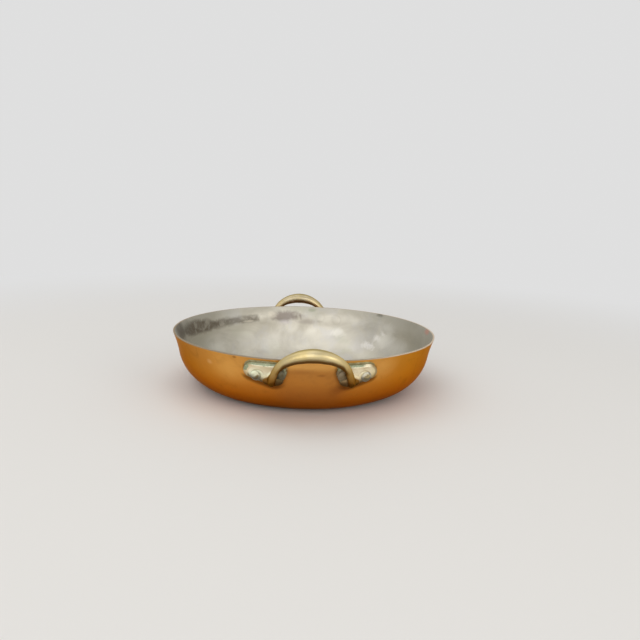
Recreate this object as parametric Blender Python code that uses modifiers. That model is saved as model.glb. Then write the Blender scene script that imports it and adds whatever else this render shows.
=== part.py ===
"""Round copper gratin pan: a tinned bowl with two cast brass loop handles, riveted on.

Metres, +Z up. The origin is the middle of the base, on the surface that the pan stands on.
The handles lie on the Y axis, the front one at -Y.
"""

import math

import bmesh
import bpy
from mathutils import Matrix, Vector

# Bowl: outer sizes of the copper, which is turned up from one sheet
RIM_DIAMETER = 0.260
BASE_DIAMETER = 0.164
PAN_HEIGHT = 0.055
CORNER_RADIUS = 0.043
FLARE_RADIUS = 0.090
COPPER_THICKNESS = 0.0016
TIN_THICKNESS = 0.0003

# Feet of the handles: tongue-shaped plates that follow the wall
FOOT_LENGTH = 0.0368
FOOT_HEIGHT = 0.0205
FOOT_THICKNESS = 0.0040
FOOT_OUTER_END_RADIUS = 0.0075
FOOT_INNER_END_RADIUS = 0.0080
FOOT_EDGE_ROUNDING = 0.0013
FOOT_SPACING = 0.077
FOOT_BELOW_RIM = 0.003

# Loop of the handles: centre-line sizes and the thickness of the bar
LOOP_WIDTH = 0.063
LOOP_REACH = 0.014
LOOP_RISE = 0.0077
KNEE_DEPTH = 0.017
KNEE_STANDOFF = 0.0085
LEG_STEM = 0.0065
LEG_SPACING = 0.062
LEG_DROP = 0.0192
BAR_THICKNESS = 0.0117
LEG_THICKNESS = 0.0060
LEG_ROOT_THICKNESS = 0.0080

# How late the bar swells on its way from a leg to the top: 1 is even, more keeps the shoulders slim
BAR_SWELL = 3

# Rivets: domed outside, flatter inside
RIVET_SHANK_DIAMETER = 0.0050
RIVET_HEAD_DIAMETER = 0.0092
RIVET_HEAD_HEIGHT = 0.0028
RIVET_INNER_HEAD_DIAMETER = 0.0100
RIVET_INNER_HEAD_HEIGHT = 0.0011
OUTER_RIVET_DROP = 0.0145
INNER_RIVET_DROP = 0.0125
OUTER_RIVET_SPACING = 0.0905
INNER_RIVET_SPACING = 0.0500

# Gap between pieces that touch
SEAT_CLEARANCE = 0.0003

# The corner may take up this much of the room between the base and the rim
CORNER_SHARE = 0.9

# Smoothness
TURNED_STEPS = 72
CORNER_SEGMENTS = 7
FLARE_SEGMENTS = 3
OUTLINE_STEPS = 20
FOOT_SLICE = 0.0065
RIVET_STEPS = 12
DOME_SEGMENTS = 3
LOOP_POINTS = 4
LOOP_RESOLUTION = 3
LOOP_BEVEL_RESOLUTION = 4
CUTTER_VERTICES = 12

MERGE_DISTANCE = 0.00001

rim_radius = RIM_DIAMETER / 2
base_radius = BASE_DIAMETER / 2
wall_thickness = COPPER_THICKNESS + SEAT_CLEARANCE + TIN_THICKNESS


class Wall:
    """The outer face of the bowl in section: a corner arc above the flat base, then a flared arc."""

    def __init__(self):
        overhang = rim_radius - base_radius
        widest_corner = (overhang ** 2 + PAN_HEIGHT ** 2) / (2 * PAN_HEIGHT)
        self.corner_radius = min(CORNER_RADIUS, CORNER_SHARE * widest_corner)
        self.corner_centre = Vector((base_radius, self.corner_radius))
        self.flare_centre = self.find_flare_centre()
        to_flare = self.flare_centre - self.corner_centre
        self.corner_start = math.atan2(to_flare.y, to_flare.x)
        self.join_angle = math.pi + self.corner_start
        self.rim_angle = self.top_angle(0.0)
        self.flare_length = (self.join_angle - self.rim_angle) * FLARE_RADIUS

    def find_flare_centre(self):
        """Centre of the arc that touches the corner arc and ends at the rim."""
        to_rim = Vector((rim_radius, PAN_HEIGHT)) - self.corner_centre
        distance = to_rim.length
        along = to_rim / distance
        across = Vector((along.y, -along.x))
        reach = self.corner_radius + FLARE_RADIUS
        run = (reach ** 2 - FLARE_RADIUS ** 2 + distance ** 2) / (2 * distance)
        return self.corner_centre + along * run + across * math.sqrt(reach ** 2 - run ** 2)

    def top_angle(self, depth):
        """Where the flared arc, set in by a depth, meets the level of the rim."""
        return math.pi - math.asin((PAN_HEIGHT - self.flare_centre.y) / (FLARE_RADIUS + depth))

    def at(self, drop):
        """Point and outward normal, in (radius, height), at a distance down the wall from the rim."""
        if drop < self.flare_length:
            direction = unit(self.rim_angle + drop / FLARE_RADIUS)
            return self.flare_centre + direction * FLARE_RADIUS, -direction
        angle = self.corner_start - (drop - self.flare_length) / self.corner_radius
        direction = unit(max(angle, -math.pi / 2))
        return self.corner_centre + direction * self.corner_radius, direction

    def profile(self, depth):
        """Section line from the level rim to the middle of the base, set in from the outer face."""
        points = []
        top_angle = self.top_angle(depth)
        for step in range(FLARE_SEGMENTS):
            share = step / FLARE_SEGMENTS
            angle = top_angle + (self.join_angle - top_angle) * share
            points.append(self.flare_centre + unit(angle) * (FLARE_RADIUS + depth))
        for step in range(CORNER_SEGMENTS + 1):
            share = step / CORNER_SEGMENTS
            angle = self.corner_start + (-math.pi / 2 - self.corner_start) * share
            points.append(self.corner_centre + unit(angle) * (self.corner_radius - depth))
        points.append(Vector((0.0, depth)))
        return points


def unit(angle):
    return Vector((math.cos(angle), math.sin(angle)))


def on_wall(wall, across, drop, out):
    """Point of the front wall: along the wall from the middle, down from the rim, out from the face."""
    point, normal = wall.at(drop)
    azimuth = across / point.x
    place = point + normal * out
    return Vector((place.x * math.sin(azimuth), -place.x * math.cos(azimuth), place.y))


def clear_scene():
    for item in list(bpy.data.objects):
        bpy.data.objects.remove(item, do_unlink=True)


def new_collection(name):
    collection = bpy.data.collections.new(name)
    bpy.context.scene.collection.children.link(collection)
    return collection


def new_material(name, colour, roughness, metallic):
    material = bpy.data.materials.new(name)
    material.use_nodes = True
    shader = material.node_tree.nodes["Principled BSDF"]
    shader.inputs["Base Color"].default_value = (*colour, 1.0)
    shader.inputs["Roughness"].default_value = roughness
    shader.inputs["Metallic"].default_value = metallic
    return material


def new_object(name, data, collection):
    item = bpy.data.objects.new(name, data)
    collection.objects.link(item)
    return item


def baked_mesh(item, name):
    """The object's mesh with its modifiers or bevel worked in, and its seams welded."""
    bpy.context.view_layer.update()
    depsgraph = bpy.context.evaluated_depsgraph_get()
    mesh = bpy.data.meshes.new_from_object(item.evaluated_get(depsgraph))
    mesh.name = name
    bm = bmesh.new()
    bm.from_mesh(mesh)
    bmesh.ops.remove_doubles(bm, verts=bm.verts, dist=MERGE_DISTANCE)
    bmesh.ops.recalc_face_normals(bm, faces=bm.faces)
    bm.to_mesh(mesh)
    bm.free()
    return mesh


def smooth(mesh):
    mesh.shade_smooth()
    mesh.set_sharp_from_angle(angle=math.radians(35))


def profile_mesh(name, points):
    """A line of edges at +X, ready to be turned about Z."""
    mesh = bpy.data.meshes.new(name)
    edges = [(index, index + 1) for index in range(len(points) - 1)]
    mesh.from_pydata([(point[0], 0.0, point[1]) for point in points], edges, [])
    return mesh


def turn(item, steps):
    screw = item.modifiers.new("turn", "SCREW")
    screw.axis = "Z"
    screw.steps = steps
    screw.render_steps = steps
    screw.use_merge_vertices = True
    screw.merge_threshold = MERGE_DISTANCE
    screw.use_smooth_shade = True


def make_bowl_shell(name, wall, depth, thickness, material, collection):
    """A bowl of even thickness whose outer face lies at a depth inside the copper's outer face."""
    section = wall.profile(depth + thickness)[::-1] + wall.profile(depth)
    shell = new_object(name, profile_mesh(name, section), collection)
    shell.data.materials.append(material)
    turn(shell, TURNED_STEPS)
    return shell


def foot_outline():
    """Outline of a foot round its middle: deepest where the leg stands, with a round end on each side."""
    half_length = FOOT_LENGTH / 2
    half_height = FOOT_HEIGHT / 2
    outer = FOOT_OUTER_END_RADIUS
    inner = FOOT_INNER_END_RADIUS
    leg = (LEG_SPACING - FOOT_SPACING) / 2
    circles = [
        (Vector((half_length - outer, half_height - outer)), outer),
        (Vector((leg, 0.0)), half_height),
        (Vector((inner - half_length, half_height - inner)), inner),
    ]
    points = []
    for step in range(OUTLINE_STEPS):
        direction = unit(2 * math.pi * step / OUTLINE_STEPS)
        centre, radius = max(circles, key=lambda circle: circle[0].dot(direction) + circle[1])
        points.append(centre + direction * radius)
    return points


def outline_curve(name, points, half_depth, collection):
    """A flat closed outline in XY, filled on both sides and given its depth along Z."""
    curve = bpy.data.curves.new(name, "CURVE")
    curve.dimensions = "2D"
    curve.fill_mode = "BOTH"
    curve.extrude = half_depth
    spline = curve.splines.new("POLY")
    spline.points.add(len(points) - 1)
    for spline_point, point in zip(spline.points, points):
        spline_point.co = (point.x, point.y, 0.0, 1.0)
    spline.use_cyclic_u = True
    return new_object(name, curve, collection)


def cut_across(bm, axis, reach):
    """Slice a mesh at even steps along one axis, so that it can be bent."""
    count = math.ceil(reach / FOOT_SLICE)
    for step in range(-count, count + 1):
        place = Vector((0.0, 0.0, 0.0))
        place[axis] = step * FOOT_SLICE
        normal = Vector((0.0, 0.0, 0.0))
        normal[axis] = 1.0
        geometry = list(bm.verts) + list(bm.edges) + list(bm.faces)
        bmesh.ops.bisect_plane(bm, geom=geometry, dist=MERGE_DISTANCE, plane_co=place, plane_no=normal)


def make_foot(wall, collection):
    """The right foot of the front handle: a flat plate with a rounded front edge, bent onto the wall."""
    flat = outline_curve("foot_outline", foot_outline(), FOOT_THICKNESS / 2, collection)
    mesh = baked_mesh(flat, "foot")
    bpy.data.objects.remove(flat, do_unlink=True)
    bm = bmesh.new()
    bm.from_mesh(mesh)
    front = FOOT_THICKNESS / 2 - MERGE_DISTANCE
    rim_edges = []
    for edge in bm.edges:
        on_front = all(vertex.co.z > front for vertex in edge.verts)
        if on_front and edge.calc_face_angle(0.0) > math.radians(45):
            rim_edges.append(edge)
    bmesh.ops.bevel(
        bm, geom=rim_edges, offset=FOOT_EDGE_ROUNDING, segments=2, profile=0.5, affect="EDGES"
    )
    cut_across(bm, 0, FOOT_LENGTH / 2)
    cut_across(bm, 1, FOOT_HEIGHT / 2)
    middle_drop = FOOT_BELOW_RIM + FOOT_HEIGHT / 2
    for vertex in bm.verts:
        across = FOOT_SPACING / 2 + vertex.co.x
        drop = middle_drop - vertex.co.y
        out = SEAT_CLEARANCE + FOOT_THICKNESS / 2 + vertex.co.z
        vertex.co = on_wall(wall, across, drop, out)
    bmesh.ops.triangulate(bm, faces=bm.faces)
    bmesh.ops.recalc_face_normals(bm, faces=bm.faces)
    bm.to_mesh(mesh)
    bm.free()
    return new_object("foot", mesh, collection)


def loop_points(wall):
    """Points of the loop's right half as (place, thickness), from inside the foot to the top."""
    sunk = SEAT_CLEARANCE + FOOT_THICKNESS / 2
    points = [
        (on_wall(wall, LEG_SPACING / 2, LEG_DROP, sunk), LEG_ROOT_THICKNESS),
        (on_wall(wall, LEG_SPACING / 2, LEG_DROP, sunk + LEG_STEM), LEG_THICKNESS),
    ]
    knee_point, _ = wall.at(KNEE_DEPTH)
    knee_out = math.sqrt(knee_point.x ** 2 - (LOOP_WIDTH / 2) ** 2) + KNEE_STANDOFF
    knee_height = knee_point.y
    top_out = rim_radius + LOOP_REACH
    top_height = PAN_HEIGHT + LOOP_RISE
    for step in range(1, LOOP_POINTS + 1):
        angle = math.pi / 2 * step / LOOP_POINTS
        lift = math.sin(angle)
        place = Vector((
            LOOP_WIDTH / 2 * math.cos(angle),
            -(knee_out + (top_out - knee_out) * lift),
            knee_height + (top_height - knee_height) * lift,
        ))
        points.append((place, LEG_THICKNESS + (BAR_THICKNESS - LEG_THICKNESS) * lift ** BAR_SWELL))
    return points


def make_loop(wall, collection):
    """The bar of the front handle, thick at the top and thin at the legs, as a mesh."""
    half = loop_points(wall)
    mirrored = [(Vector((-place.x, place.y, place.z)), size) for place, size in half[:-1]]
    points = half + mirrored[::-1]
    curve = bpy.data.curves.new("loop", "CURVE")
    curve.dimensions = "3D"
    curve.bevel_depth = BAR_THICKNESS / 2
    curve.bevel_resolution = LOOP_BEVEL_RESOLUTION
    curve.use_fill_caps = True
    curve.resolution_u = LOOP_RESOLUTION
    spline = curve.splines.new("BEZIER")
    spline.bezier_points.add(len(points) - 1)
    for bezier_point, (place, size) in zip(spline.bezier_points, points):
        bezier_point.co = place
        bezier_point.radius = size / BAR_THICKNESS
        bezier_point.handle_left_type = "AUTO"
        bezier_point.handle_right_type = "AUTO"
    path = new_object("loop_path", curve, collection)
    mesh = baked_mesh(path, "loop")
    bpy.data.objects.remove(path, do_unlink=True)
    return new_object("loop", mesh, collection)


def rivet_frames(wall):
    """Places of one handle's rivets: outer face of the copper, Z pointing out along the shank."""
    frames = {}
    rows = (
        ("outer", OUTER_RIVET_SPACING, OUTER_RIVET_DROP),
        ("inner", INNER_RIVET_SPACING, INNER_RIVET_DROP),
    )
    for row, spacing, drop in rows:
        for side, sign in (("left", -1), ("right", 1)):
            across = sign * spacing / 2
            place = on_wall(wall, across, drop, 0.0)
            outward = (on_wall(wall, across, drop, 1.0) - place).normalized()
            turned = outward.to_track_quat("Z", "Y").to_matrix().to_4x4()
            frames[f"{side}_{row}"] = Matrix.Translation(place) @ turned
    return frames


def make_hole_cutter(name, frame, parent, collection):
    """A cylinder that clears a rivet's shank through the foot, the copper and the tin."""
    bm = bmesh.new()
    reach = 2 * (FOOT_THICKNESS + wall_thickness)
    radius = RIVET_SHANK_DIAMETER / 2 + SEAT_CLEARANCE
    bmesh.ops.create_cone(
        bm, cap_ends=True, segments=CUTTER_VERTICES, radius1=radius, radius2=radius, depth=2 * reach
    )
    mesh = bpy.data.meshes.new(name)
    bm.to_mesh(mesh)
    bm.free()
    cutter = new_object(name, mesh, collection)
    cutter.parent = parent
    cutter.matrix_local = frame
    hide_helper(cutter)
    return cutter


def hide_helper(item):
    item.hide_render = True
    item.display_type = "WIRE"


def combine(item, operation, operand):
    boolean = item.modifiers.new(f"{operation.lower()}_{operand.name}", "BOOLEAN")
    boolean.operation = operation
    boolean.solver = "EXACT"
    boolean.object = operand


def make_handle_mesh(wall, cutters, helpers, material):
    """The front handle in one casting: loop, two feet and the holes for its rivets."""
    loop = make_loop(wall, helpers)
    foot = make_foot(wall, helpers)
    hide_helper(loop)
    hide_helper(foot)
    combine(loop, "UNION", foot)
    for cutter in cutters:
        combine(loop, "DIFFERENCE", cutter)
    mirror = loop.modifiers.new("both_sides", "MIRROR")
    mirror.use_axis = (True, False, False)
    mirror.use_bisect_axis = (True, False, False)
    mirror.merge_threshold = MERGE_DISTANCE
    mesh = baked_mesh(loop, "handle")
    mesh.materials.clear()
    mesh.materials.append(material)
    smooth(mesh)
    bpy.data.objects.remove(loop, do_unlink=True)
    bpy.data.objects.remove(foot, do_unlink=True)
    return mesh


def dome(radius, height, base, direction):
    """Section of a shallow dome from its top to its edge, or the other way for one facing down."""
    sphere = (radius ** 2 + height ** 2) / (2 * height)
    opening = math.asin(min(1.0, radius / sphere))
    points = []
    for step in range(DOME_SEGMENTS + 1):
        angle = opening * step / DOME_SEGMENTS
        rise = sphere * math.cos(angle) - (sphere - height)
        points.append(Vector((sphere * math.sin(angle), base + direction * rise)))
    return points if direction > 0 else points[::-1]


def make_rivet_mesh(wall, material, helpers):
    """One rivet about its own Z: zero is the copper's outer face."""
    outer_seat = 2 * SEAT_CLEARANCE + FOOT_THICKNESS
    head_radius = RIVET_INNER_HEAD_DIAMETER / 2
    inner_curve = wall.corner_radius - wall_thickness
    hollow = inner_curve - math.sqrt(inner_curve ** 2 - head_radius ** 2)
    inner_seat = -(wall_thickness + SEAT_CLEARANCE + hollow)
    shank = RIVET_SHANK_DIAMETER / 2
    points = dome(RIVET_HEAD_DIAMETER / 2, RIVET_HEAD_HEIGHT, outer_seat, 1)
    points += [Vector((shank, outer_seat)), Vector((shank, inner_seat))]
    points += dome(head_radius, RIVET_INNER_HEAD_HEIGHT, inner_seat, -1)
    turned = new_object("rivet_turned", profile_mesh("rivet_section", points), helpers)
    turn(turned, RIVET_STEPS)
    mesh = baked_mesh(turned, "rivet")
    mesh.materials.clear()
    mesh.materials.append(material)
    smooth(mesh)
    bpy.data.objects.remove(turned, do_unlink=True)
    return mesh


def build():
    clear_scene()
    parts = new_collection("copper_gratin_pan")
    helpers = new_collection("cutters")
    copper = new_material("copper", (0.72, 0.36, 0.13), 0.32, 1.0)
    tin = new_material("tin", (0.52, 0.51, 0.47), 0.45, 1.0)
    brass = new_material("brass", (0.66, 0.52, 0.24), 0.34, 1.0)
    rivet_copper = new_material("rivet_copper", (0.60, 0.42, 0.26), 0.40, 1.0)

    wall = Wall()
    body = make_bowl_shell("pan_body", wall, 0.0, COPPER_THICKNESS, copper, parts)
    lining_depth = COPPER_THICKNESS + SEAT_CLEARANCE
    lining = make_bowl_shell("tin_lining", wall, lining_depth, TIN_THICKNESS, tin, parts)

    frames = rivet_frames(wall)
    rivet_mesh = make_rivet_mesh(wall, rivet_copper, helpers)
    handle_mesh = None
    for side, turned in (("front", 0.0), ("back", math.pi)):
        mount = new_object(f"{side}_mount", None, parts)
        mount.rotation_euler.z = turned
        cutters = []
        for place, frame in frames.items():
            cutter = make_hole_cutter(f"hole_{side}_{place}", frame, mount, helpers)
            combine(body, "DIFFERENCE", cutter)
            combine(lining, "DIFFERENCE", cutter)
            if "right" in place:
                cutters.append(cutter)
            rivet = new_object(f"rivet_{side}_{place}", rivet_mesh, parts)
            rivet.parent = mount
            rivet.matrix_local = frame
        if handle_mesh is None:
            handle_mesh = make_handle_mesh(wall, cutters, helpers, brass)
        handle = new_object(f"handle_{side}", handle_mesh, parts)
        handle.parent = mount


build()
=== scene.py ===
import math
from types import SimpleNamespace

import bmesh
import bpy
from mathutils import Matrix, Vector, noise


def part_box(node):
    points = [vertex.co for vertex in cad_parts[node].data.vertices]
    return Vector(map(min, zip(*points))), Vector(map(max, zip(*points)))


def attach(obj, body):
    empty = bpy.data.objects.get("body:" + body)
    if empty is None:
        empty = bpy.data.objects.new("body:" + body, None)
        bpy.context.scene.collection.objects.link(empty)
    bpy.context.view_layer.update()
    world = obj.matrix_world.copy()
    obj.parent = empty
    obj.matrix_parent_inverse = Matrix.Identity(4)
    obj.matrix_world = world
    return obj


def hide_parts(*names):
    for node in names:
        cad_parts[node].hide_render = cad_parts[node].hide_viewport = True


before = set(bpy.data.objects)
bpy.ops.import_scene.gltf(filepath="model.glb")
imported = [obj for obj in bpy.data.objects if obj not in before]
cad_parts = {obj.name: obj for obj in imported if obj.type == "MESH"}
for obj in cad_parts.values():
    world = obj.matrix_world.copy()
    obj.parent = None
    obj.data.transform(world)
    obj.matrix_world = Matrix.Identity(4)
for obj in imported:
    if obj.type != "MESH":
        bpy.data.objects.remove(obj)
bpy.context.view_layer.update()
print("frame loaded,", len(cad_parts), "nodes")

millimetre = 0.001
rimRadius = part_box("pan_body")[1].x
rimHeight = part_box("pan_body")[1].z

# Where the photograph was taken from
viewpoint = {
    "place": (-0.03336, -0.61595, 0.18318),
    "heading": -4.51,
    "lookDown": 10.93,
    "roll": 2.01,
    "lens": 35.0,
    "sensor": 36.0,
}

# Copper: a flat base, a round corner and a wall that flares out
bowl = {
    "baseRadius": 0.082,
    "cornerRadius": 0.043,
    "flareRadius": 0.090,
    "sheet": 0.0016,
    "edgeRounding": 0.0005,
    "edgeBow": 0.45,
    "turns": 240,
    "wallStep": 0.0021,
    "baseStep": 0.003,
    "broadWave": 0.0006,
    "broadScale": 17.0,
    "smallWave": 0.00008,
    "smallScale": 62.0,
    "smallShift": (3.1, 7.7, 1.3),
    "stillRound": 0.006,      # the waves die out over this distance towards the handles' feet
}

# Tin: wiped over the inside, thinner towards the rim
lining = {
    "gap": 0.00004,
    "thickness": 0.00056,
    "rimThickness": 0.0003,
    "thinOver": 0.012,
    "belowRim": 0.00005,
}

# Feet of the handles, flat and lying on XY before they are bent onto the wall
foot = {
    "length": 0.0368,
    "height": 0.0197,
    "thickness": 0.0040,
    "outerEnd": 0.0070,
    "rightReach": 0.95,       # the right foot was trimmed a little shorter
    "innerEnd": 0.0080,
    "rounding": 0.0011,
    "spacing": 0.077,
    "belowRim": 0.0038,
    "slice": 0.0025,
    "seat": 0.0003,
}

# Loop of the handles
loop = {
    "width": 0.063,
    "reach": 0.014,
    "rise": 0.0077,
    "kneeDepth": 0.0165,
    "kneeStandoff": 0.0085,
    "stem": 0.0065,
    "legSpacing": 0.062,
    "legDrop": 0.0184,
    "barThickness": 0.0117,
    "legThickness": 0.0060,
    "rootThickness": 0.0080,
    "swell": 3,
    "points": 5,
}

rivet = {
    "shank": 0.0050,
    "head": 0.0092,
    "headHeight": 0.0025,
    "innerHead": 0.0100,
    "innerHeight": 0.00025,
    "edge": 0.0005,
    "edgeSlope": 0.0002,
    "seatedIn": 0.0003,
    "steps": 40,
    "domeSteps": 6,
    "hammerMarks": 0.00022,
    "markScale": 330.0,
    "markShift": 5.3,
    "marked": (0.002, 0.004),
    "turnEach": 1.9,          # no two rivets stand the same way round
}

# Places of the rivets: half their distance along the wall, and how far below the rim
rivetRows = {"outer": (0.0905 / 2, 0.0145), "inner": (0.0500 / 2, 0.0125)}


def onlySelect(*things):
    if bpy.context.object and bpy.context.object.mode != "OBJECT":
        bpy.ops.object.mode_set(mode="OBJECT")
    bpy.ops.object.select_all(action="DESELECT")
    for thing in things:
        thing.select_set(True)
        bpy.context.view_layer.objects.active = thing


def applyPlace():
    bpy.ops.object.transform_apply(location=True, rotation=True, scale=True)


def intoEdit(thing, action="DESELECT"):
    onlySelect(thing)
    bpy.ops.object.mode_set(mode="EDIT")
    bpy.ops.mesh.select_all(action=action)


def outOfEdit():
    bpy.ops.object.mode_set(mode="OBJECT")


def applyModifier(thing, kind, **settings):
    onlySelect(thing)
    modifier = thing.modifiers.new(kind.title(), kind)
    for name, value in settings.items():
        setattr(modifier, name, value)
    bpy.ops.object.modifier_apply(modifier=modifier.name)


def direction(angle):
    return Vector((math.cos(angle), math.sin(angle)))


# The wall in section, as (radius, height): its two arcs touch, and the upper one ends at the rim
cornerCentre = Vector((bowl["baseRadius"], bowl["cornerRadius"]))


def findFlareCentre():
    toRim = Vector((rimRadius, rimHeight)) - cornerCentre
    along = toRim.normalized()
    across = Vector((along.y, -along.x))
    reach = bowl["cornerRadius"] + bowl["flareRadius"]
    run = (reach ** 2 - bowl["flareRadius"] ** 2 + toRim.length ** 2) / (2 * toRim.length)
    return cornerCentre + along * run + across * math.sqrt(reach ** 2 - run ** 2)


flareCentre = findFlareCentre()
cornerStart = math.atan2(flareCentre.y - cornerCentre.y, flareCentre.x - cornerCentre.x)
joinAngle = math.pi + cornerStart
rimAngle = math.pi - math.asin((rimHeight - flareCentre.y) / bowl["flareRadius"])
flareLength = (joinAngle - rimAngle) * bowl["flareRadius"]
cornerLength = (cornerStart + math.pi / 2) * bowl["cornerRadius"]


def wallAt(drop):  # point and outward normal of the copper's outer face, at a distance down from the rim
    if drop < flareLength:
        towards = direction(rimAngle + drop / bowl["flareRadius"])
        return flareCentre + towards * bowl["flareRadius"], -towards
    if drop < flareLength + cornerLength:
        towards = direction(cornerStart - (drop - flareLength) / bowl["cornerRadius"])
        return cornerCentre + towards * bowl["cornerRadius"], towards
    radius = max(0.0, bowl["baseRadius"] - (drop - flareLength - cornerLength))
    return Vector((radius, 0.0)), Vector((0.0, -1.0))


def onWall(across, drop, out):  # a point of the front wall, measured from its middle line and from the rim
    point, normal = wallAt(drop)
    turn = across / point.x
    place = point + normal * out
    return Vector((place.x * math.sin(turn), -place.x * math.cos(turn), place.y))


def fromCentres(point):  # from the corner's centre, from the flare's, and the angle round the flare's
    spot = Vector((math.hypot(point.x, point.y), point.z))
    fromFlare = spot - flareCentre
    return spot - cornerCentre, fromFlare, math.atan2(fromFlare.y, fromFlare.x) % (2 * math.pi)


def wallPlace(point):  # (along the wall from the nearer handle's middle line, down from the rim)
    radius = math.hypot(point.x, point.y)
    turn = math.atan2(point.x, -point.y) if point.y < 0 else math.atan2(-point.x, point.y)
    fromCorner, fromFlare, angle = fromCentres(point)
    if fromCorner.x < 0:
        drop = flareLength + cornerLength + bowl["baseRadius"] - radius
    elif angle < joinAngle:
        drop = (angle - rimAngle) * bowl["flareRadius"]
    else:
        drop = flareLength + (cornerStart - math.atan2(fromCorner.y, fromCorner.x)) * bowl["cornerRadius"]
    return turn * radius, drop


def upperDisc(side, radius):  # centre and radius of a disc in an upper corner of a foot
    return Vector((side * (foot["length"] / 2 - radius), foot["height"] / 2 - radius)), radius


# The outline of a foot goes round three discs: outer end, under the leg, inner end
footEnds = (
    upperDisc(1, foot["outerEnd"]),
    (Vector(((loop["legSpacing"] - foot["spacing"]) / 2, 0.0)), foot["height"] / 2),
    upperDisc(-1, foot["innerEnd"]),
)


def footDistance(across, drop):  # how far a place of the wall lies outside the outline of the nearer foot
    spot = Vector((abs(across) - foot["spacing"] / 2, foot["belowRim"] + foot["height"] / 2 - drop))
    if across > 0 and spot.x > 0:
        spot.x /= foot["rightReach"]
    nearest = 1.0
    for first, second in ((0, 1), (1, 2), (0, 2)):
        (centreA, radiusA), (centreB, radiusB) = footEnds[first], footEnds[second]
        run = centreB - centreA
        share = min(1.0, max(0.0, (spot - centreA).dot(run) / run.length_squared))
        radius = radiusA + (radiusB - radiusA) * share
        nearest = min(nearest, (spot - centreA - run * share).length - radius)
    return nearest


def rivetDistance(across, drop):  # to the nearest rivet's middle
    return min(math.hypot(abs(across) - span, drop - low) for span, low in rivetRows.values())


def easeIn(value, low, high):  # 0 at low and 1 at high, which may be the smaller one
    share = min(1.0, max(0.0, (value - low) / (high - low)))
    return share * share * (3 - 2 * share)


def drawSection(name, points):  # one vertex, extruded from point to point on the XZ plane
    onlySelect()
    first = points[0]
    bpy.ops.mesh.primitive_plane_add(size=millimetre, location=(first[0], 0.0, first[1]))
    thing = bpy.context.object
    thing.name = name
    applyPlace()
    intoEdit(thing, "SELECT")
    bpy.ops.mesh.merge(type="CENTER")
    for last, point in zip(points, points[1:]):
        step = (point[0] - last[0], 0.0, point[1] - last[1])
        bpy.ops.mesh.extrude_region_move(TRANSFORM_OT_translate={"value": step})
    outOfEdit()
    return thing


def closeSkin():
    bpy.ops.mesh.select_all(action="SELECT")
    bpy.ops.mesh.remove_doubles(threshold=0.01 * millimetre)
    bpy.ops.mesh.normals_make_consistent(inside=False)
    outOfEdit()


def turnSection(thing, steps):
    intoEdit(thing, "SELECT")
    bpy.ops.mesh.spin(steps=steps, angle=2 * math.pi, center=(0, 0, 0), axis=(0, 0, 1))
    closeSkin()


def skinLine(depthAt):  # the section from the rim to the middle of the base, set in by a changing depth
    points = []
    start = 0.0
    wall, base = bowl["wallStep"], bowl["baseStep"]
    for length, step in ((flareLength, wall), (cornerLength, wall), (bowl["baseRadius"], base)):
        count = round(length / step)
        for index in range(1 if points else 0, count + 1):
            drop = start + length * index / count
            point, normal = wallAt(drop)
            points.append(point - normal * depthAt(drop))
        start += length
    return points


def levelled(points, height):  # the top of the line is cut off, or drawn out, to one level
    while points[1].y > height - bowl["edgeRounding"] * 1.2:
        del points[1]
    first, second = points[0], points[1]
    slope = (first - second) / (first.y - second.y)
    return [second + slope * (height - second.y)] + points[1:]


def wallWave(point):  # how far the hand-worked sheet lies inside the true turned shape
    across, drop = wallPlace(point)
    face, normal = wallAt(max(0.0, drop))
    towards = direction(math.atan2(point.y, point.x))
    spot = Vector((*(towards * face.x), face.y))
    broad = 0.5 + 0.5 * noise.noise(spot * bowl["broadScale"])
    small = 0.5 + 0.5 * noise.noise(spot * bowl["smallScale"] + Vector(bowl["smallShift"]))
    amount = broad * bowl["broadWave"] + small * bowl["smallWave"]
    amount *= easeIn(footDistance(across, drop), 0.0, bowl["stillRound"])
    return Vector((*(towards * normal.x), normal.y)) * -amount


def workByHand(thing):
    for vertex in thing.data.vertices:
        vertex.co += wallWave(vertex.co)
    thing.data.update()


def note(thing, names, measure):  # writes numbers on each vertex, for the materials to read
    notes = [thing.data.attributes.new(name, "FLOAT", "POINT").data for name in names]
    for index, vertex in enumerate(thing.data.vertices):
        for values, value in zip(notes, measure(vertex.co)):
            values[index].value = value


def finishPiece(thing, material, slot, node):
    onlySelect(thing)
    bpy.ops.object.shade_smooth_by_angle(angle=math.radians(40))
    thing.data.materials.clear()
    thing.data.materials.append(material)
    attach(thing, "root")
    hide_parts(node)
    print("made", thing.name, len(thing.data.polygons), "faces")


def softTop(line, way):  # three points that round the top of a line, towards the other one
    top = line[0] + (line[1] - line[0]).normalized() * bowl["edgeRounding"]
    flat = line[0] + Vector((way * bowl["edgeRounding"], 0.0))
    return [top, (top + flat) / 2 * bowl["edgeBow"] + line[0] * (1 - bowl["edgeBow"]), flat]


def makeSkin(name, section, noted, distance, *finish):
    skin = drawSection(name, section)
    turnSection(skin, bowl["turns"])
    workByHand(skin)
    note(skin, (noted,), lambda point: (distance(*wallPlace(point)),))
    finishPiece(skin, *finish)


def makeCopperBowl(material):
    outer = levelled(skinLine(lambda drop: 0.0), rimHeight)
    inner = levelled(skinLine(lambda drop: bowl["sheet"]), rimHeight)
    section = outer[:0:-1] + softTop(outer, -1) + softTop(inner, 1)[::-1] + inner[1:]
    makeSkin("bowlCopper", section, "footDistance", footDistance, material, "copper", "pan_body")


def makeTinLining(material):
    outside = bowl["sheet"] + lining["gap"]

    def thickness(drop):
        grown = easeIn(drop, 0.0, lining["thinOver"])
        return lining["rimThickness"] + (lining["thickness"] - lining["rimThickness"]) * grown

    top = rimHeight - lining["belowRim"]
    outer = levelled(skinLine(lambda drop: outside), top)
    inner = levelled(skinLine(lambda drop: outside + thickness(drop)), top)
    section = outer[::-1] + inner
    makeSkin("bowlTin", section, "rivetDistance", rivetDistance, material, "tin", "tin_lining")


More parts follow.
